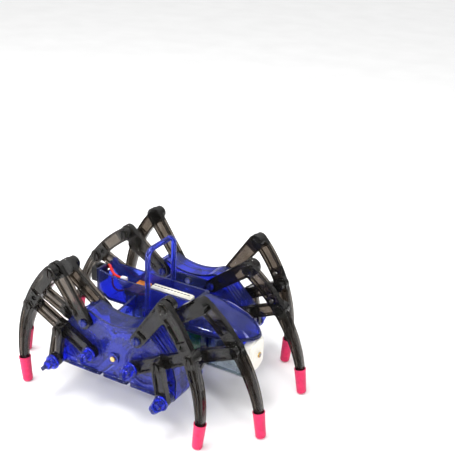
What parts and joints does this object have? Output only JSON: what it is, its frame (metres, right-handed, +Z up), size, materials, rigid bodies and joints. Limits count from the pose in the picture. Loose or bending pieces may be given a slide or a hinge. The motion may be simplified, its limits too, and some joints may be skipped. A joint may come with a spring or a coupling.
{
  "type": "walking spider robot",
  "caption": "Motorised spider walker: twin gearboxes drive crank-linked bowed legs with rubber feet; open top tray, nose dome and carry handle.",
  "frame": {"origin": "on the floor under the middle of the body", "axes": "+X towards the nose, +Y to the robot's left, +Z up; the drive shaft runs along Y"},
  "size_m": [0.167, 0.122, 0.084],
  "materials": {
    "blue_plastic": "translucent cobalt blue injection moulding",
    "smoke_plastic": "translucent smoke grey-brown injection moulding",
    "pink_rubber": "soft opaque magenta pink",
    "clear_plastic": "clear grey injection moulding",
    "gear_plastic": "white nylon",
    "ivory_plastic": "ivory",
    "steel": "plain",
    "motor_steel": "plated can",
    "brass": "turned",
    "circuit_green": "solder mask",
    "battery_sleeve": "white sleeve",
    "amber_film": "amber film",
    "red_wire": "insulation",
    "white_plastic": "plain",
    "black_plastic": "plain"
  },
  "bodies": {
    "root": {"gearbox_cover_right_outer": "blue_plastic", "gearbox_cover_right_inner": "blue_plastic", "gearbox_cover_left_inner": "blue_plastic", "gearbox_cover_left_outer": "blue_plastic", "top_tray": "blue_plastic", "nose_cover": "blue_plastic", "carry_handle": "blue_plastic", "drive_case": "clear_plastic", "motor_can": "motor_steel", "motor_end_cap": "ivory_plastic", "pivot_caps": "blue_plastic", "circuit_board": "circuit_green", "battery_cell": "battery_sleeve", "cell_board": "amber_film", "battery_wires": "red_wire", "wire_plug": "white_plastic", "switch_housing": "black_plastic", "case_screws": "steel"},
    "lower_rockers_front_outer": {"lower_rockers_front_outer": "smoke_plastic"},
    "rods_front_outer": {"rods_front_outer": "smoke_plastic"},
    "upper_rockers_front_outer": {"upper_rockers_front_outer": "smoke_plastic"},
    "leg_right_front_outer": {"leg_right_front_outer": "smoke_plastic", "boot_right_front_outer": "pink_rubber"},
    "leg_left_front_outer": {"leg_left_front_outer": "smoke_plastic", "boot_left_front_outer": "pink_rubber"},
    "lower_rockers_front_inner": {"lower_rockers_front_inner": "smoke_plastic"},
    "rods_front_inner": {"rods_front_inner": "smoke_plastic"},
    "upper_rockers_front_inner": {"upper_rockers_front_inner": "smoke_plastic"},
    "leg_right_front_inner": {"leg_right_front_inner": "smoke_plastic", "boot_right_front_inner": "pink_rubber"},
    "leg_left_front_inner": {"leg_left_front_inner": "smoke_plastic", "boot_left_front_inner": "pink_rubber"},
    "cranks_front": {"crank_gear_right_front": "blue_plastic", "crank_gear_left_front": "blue_plastic", "crank_caps_front": "blue_plastic"},
    "lower_rockers_rear_outer": {"lower_rockers_rear_outer": "smoke_plastic"},
    "rods_rear_outer": {"rods_rear_outer": "smoke_plastic"},
    "upper_rockers_rear_outer": {"upper_rockers_rear_outer": "smoke_plastic"},
    "leg_right_rear_outer": {"leg_right_rear_outer": "smoke_plastic", "boot_right_rear_outer": "pink_rubber"},
    "leg_left_rear_outer": {"leg_left_rear_outer": "smoke_plastic", "boot_left_rear_outer": "pink_rubber"},
    "lower_rockers_rear_inner": {"lower_rockers_rear_inner": "smoke_plastic"},
    "rods_rear_inner": {"rods_rear_inner": "smoke_plastic"},
    "upper_rockers_rear_inner": {"upper_rockers_rear_inner": "smoke_plastic"},
    "leg_right_rear_inner": {"leg_right_rear_inner": "smoke_plastic", "boot_right_rear_inner": "pink_rubber"},
    "leg_left_rear_inner": {"leg_left_rear_inner": "smoke_plastic", "boot_left_rear_inner": "pink_rubber"},
    "cranks_rear": {"crank_gear_right_rear": "blue_plastic", "crank_gear_left_rear": "blue_plastic", "crank_caps_rear": "blue_plastic"},
    "drive_shaft": {"drive_shaft": "brass", "shaft_gears": "gear_plastic"},
    "idler": {"idler_gear": "gear_plastic"},
    "crown": {"crown_gear": "gear_plastic"},
    "motor_rotor": {"motor_pinion": "steel"},
    "switch_slider": {"switch_slider": "black_plastic"}
  },
  "joints": [
    {"name": "shaft_spin", "type": "hinge", "parent": "root", "child": "drive_shaft", "pos_m": [0, 0, 0.031], "axis": [0, 1, 0], "range_deg": [-28, 28]},
    {"name": "idler_spin", "type": "hinge", "parent": "root", "child": "idler", "pos_m": [0.01198, 0, 0.03175], "axis": [0, 1, 0], "range_deg": [-88, 88]},
    {"name": "crown_spin", "type": "hinge", "parent": "root", "child": "crown", "pos_m": [0.02395, 0, 0.0325], "axis": [0, 1, 0], "range_deg": [-260, 260]},
    {"name": "motor_spin", "type": "hinge", "parent": "root", "child": "motor_rotor", "pos_m": [0.04, 0, 0.0325], "axis": [1, 0, 0], "range_deg": [-927.2, 927.2]},
    {"name": "cranks_front_spin", "type": "hinge", "parent": "root", "child": "cranks_front", "pos_m": [0.0192, 0, 0.031], "axis": [0, 1, 0], "range_deg": [-21, 21]},
    {"name": "lower_rockers_front_outer_swing", "type": "hinge", "parent": "root", "child": "lower_rockers_front_outer", "pos_m": [0.036, 0, 0.0206], "axis": [0, 1, 0], "range_deg": [-3.6, 3.6]},
    {"name": "rods_front_outer_swing", "type": "hinge", "parent": "lower_rockers_front_outer", "child": "rods_front_outer", "pos_m": [0.03229, 0, 0.04076], "axis": [0, 1, 0], "range_deg": [-3.76, 3.76]},
    {"name": "upper_rockers_front_outer_swing", "type": "hinge", "parent": "root", "child": "upper_rockers_front_outer", "pos_m": [0.0173, 0, 0.049], "axis": [0, 1, 0], "range_deg": [-5.62, 5.62]},
    {"name": "leg_right_front_outer_swing", "type": "hinge", "parent": "upper_rockers_front_outer", "child": "leg_right_front_outer", "pos_m": [0.03573, -0.0504, 0.07516], "axis": [0, 1, 0], "range_deg": [-5.04, 5.04]},
    {"name": "leg_left_front_outer_swing", "type": "hinge", "parent": "upper_rockers_front_outer", "child": "leg_left_front_outer", "pos_m": [0.03573, 0.0504, 0.07516], "axis": [0, 1, 0], "range_deg": [-5.04, 5.04]},
    {"name": "lower_rockers_front_inner_swing", "type": "hinge", "parent": "root", "child": "lower_rockers_front_inner", "pos_m": [0.036, 0, 0.0206], "axis": [0, 1, 0], "range_deg": [-4.16, 4.16]},
    {"name": "rods_front_inner_swing", "type": "hinge", "parent": "lower_rockers_front_inner", "child": "rods_front_inner", "pos_m": [0.04389, 0, 0.03952], "axis": [0, 1, 0], "range_deg": [-4.76, 4.76]},
    {"name": "upper_rockers_front_inner_swing", "type": "hinge", "parent": "root", "child": "upper_rockers_front_inner", "pos_m": [0.0173, 0, 0.049], "axis": [0, 1, 0], "range_deg": [-7.34, 7.34]},
    {"name": "leg_right_front_inner_swing", "type": "hinge", "parent": "upper_rockers_front_inner", "child": "leg_right_front_inner", "pos_m": [0.04282, -0.0248, 0.06831], "axis": [0, 1, 0], "range_deg": [-7.22, 7.22]},
    {"name": "leg_left_front_inner_swing", "type": "hinge", "parent": "upper_rockers_front_inner", "child": "leg_left_front_inner", "pos_m": [0.04282, 0.0248, 0.06831], "axis": [0, 1, 0], "range_deg": [-7.22, 7.22]},
    {"name": "cranks_rear_spin", "type": "hinge", "parent": "root", "child": "cranks_rear", "pos_m": [-0.0192, 0, 0.031], "axis": [0, 1, 0], "range_deg": [-21, 21]},
    {"name": "lower_rockers_rear_outer_swing", "type": "hinge", "parent": "root", "child": "lower_rockers_rear_outer", "pos_m": [-0.036, 0, 0.0206], "axis": [0, 1, 0], "range_deg": [-3.6, 3.6]},
    {"name": "rods_rear_outer_swing", "type": "hinge", "parent": "lower_rockers_rear_outer", "child": "rods_rear_outer", "pos_m": [-0.03229, 0, 0.04076], "axis": [0, 1, 0], "range_deg": [-3.76, 3.76]},
    {"name": "upper_rockers_rear_outer_swing", "type": "hinge", "parent": "root", "child": "upper_rockers_rear_outer", "pos_m": [-0.0173, 0, 0.049], "axis": [0, 1, 0], "range_deg": [-5.62, 5.62]},
    {"name": "leg_right_rear_outer_swing", "type": "hinge", "parent": "upper_rockers_rear_outer", "child": "leg_right_rear_outer", "pos_m": [-0.03573, -0.0504, 0.07516], "axis": [0, 1, 0], "range_deg": [-5.04, 5.04]},
    {"name": "leg_left_rear_outer_swing", "type": "hinge", "parent": "upper_rockers_rear_outer", "child": "leg_left_rear_outer", "pos_m": [-0.03573, 0.0504, 0.07516], "axis": [0, 1, 0], "range_deg": [-5.04, 5.04]},
    {"name": "lower_rockers_rear_inner_swing", "type": "hinge", "parent": "root", "child": "lower_rockers_rear_inner", "pos_m": [-0.036, 0, 0.0206], "axis": [0, 1, 0], "range_deg": [-4.16, 4.16]},
    {"name": "rods_rear_inner_swing", "type": "hinge", "parent": "lower_rockers_rear_inner", "child": "rods_rear_inner", "pos_m": [-0.04389, 0, 0.03952], "axis": [0, 1, 0], "range_deg": [-4.76, 4.76]},
    {"name": "upper_rockers_rear_inner_swing", "type": "hinge", "parent": "root", "child": "upper_rockers_rear_inner", "pos_m": [-0.0173, 0, 0.049], "axis": [0, 1, 0], "range_deg": [-7.34, 7.34]},
    {"name": "leg_right_rear_inner_swing", "type": "hinge", "parent": "upper_rockers_rear_inner", "child": "leg_right_rear_inner", "pos_m": [-0.04282, -0.0248, 0.06831], "axis": [0, 1, 0], "range_deg": [-7.22, 7.22]},
    {"name": "leg_left_rear_inner_swing", "type": "hinge", "parent": "upper_rockers_rear_inner", "child": "leg_left_rear_inner", "pos_m": [-0.04282, 0.0248, 0.06831], "axis": [0, 1, 0], "range_deg": [-7.22, 7.22]},
    {"name": "switch_slide", "type": "slide", "parent": "root", "child": "switch_slider", "axis": [0, 1, 0], "range_m": [0, 0.0026]}
  ],
  "couplings": [
    {"joint": "idler_spin", "follows": "shaft_spin", "ratio": -3},
    {"joint": "crown_spin", "follows": "shaft_spin", "ratio": 9},
    {"joint": "motor_spin", "follows": "shaft_spin", "ratio": -32.4},
    {"joint": "cranks_front_spin", "follows": "shaft_spin", "ratio": -0.71429},
    {"joint": "lower_rockers_front_outer_swing", "follows": "shaft_spin", "ratio": -0.092857},
    {"joint": "rods_front_outer_swing", "follows": "shaft_spin", "ratio": -0.098571},
    {"joint": "upper_rockers_front_outer_swing", "follows": "shaft_spin", "ratio": -0.165},
    {"joint": "leg_right_front_outer_swing", "follows": "shaft_spin", "ratio": 0.14429},
    {"joint": "leg_left_front_outer_swing", "follows": "shaft_spin", "ratio": 0.14429},
    {"joint": "lower_rockers_front_inner_swing", "follows": "shaft_spin", "ratio": 0.11286},
    {"joint": "rods_front_inner_swing", "follows": "shaft_spin", "ratio": 0.13429},
    {"joint": "upper_rockers_front_inner_swing", "follows": "shaft_spin", "ratio": 0.22643},
    {"joint": "leg_right_front_inner_swing", "follows": "shaft_spin", "ratio": -0.22214},
    {"joint": "leg_left_front_inner_swing", "follows": "shaft_spin", "ratio": -0.22214},
    {"joint": "cranks_rear_spin", "follows": "shaft_spin", "ratio": -0.71429},
    {"joint": "lower_rockers_rear_outer_swing", "follows": "shaft_spin", "ratio": -0.092857},
    {"joint": "rods_rear_outer_swing", "follows": "shaft_spin", "ratio": -0.098571},
    {"joint": "upper_rockers_rear_outer_swing", "follows": "shaft_spin", "ratio": -0.165},
    {"joint": "leg_right_rear_outer_swing", "follows": "shaft_spin", "ratio": 0.14429},
    {"joint": "leg_left_rear_outer_swing", "follows": "shaft_spin", "ratio": 0.14429},
    {"joint": "lower_rockers_rear_inner_swing", "follows": "shaft_spin", "ratio": 0.11286},
    {"joint": "rods_rear_inner_swing", "follows": "shaft_spin", "ratio": 0.13429},
    {"joint": "upper_rockers_rear_inner_swing", "follows": "shaft_spin", "ratio": 0.22643},
    {"joint": "leg_right_rear_inner_swing", "follows": "shaft_spin", "ratio": -0.22214},
    {"joint": "leg_left_rear_inner_swing", "follows": "shaft_spin", "ratio": -0.22214}
  ]
}
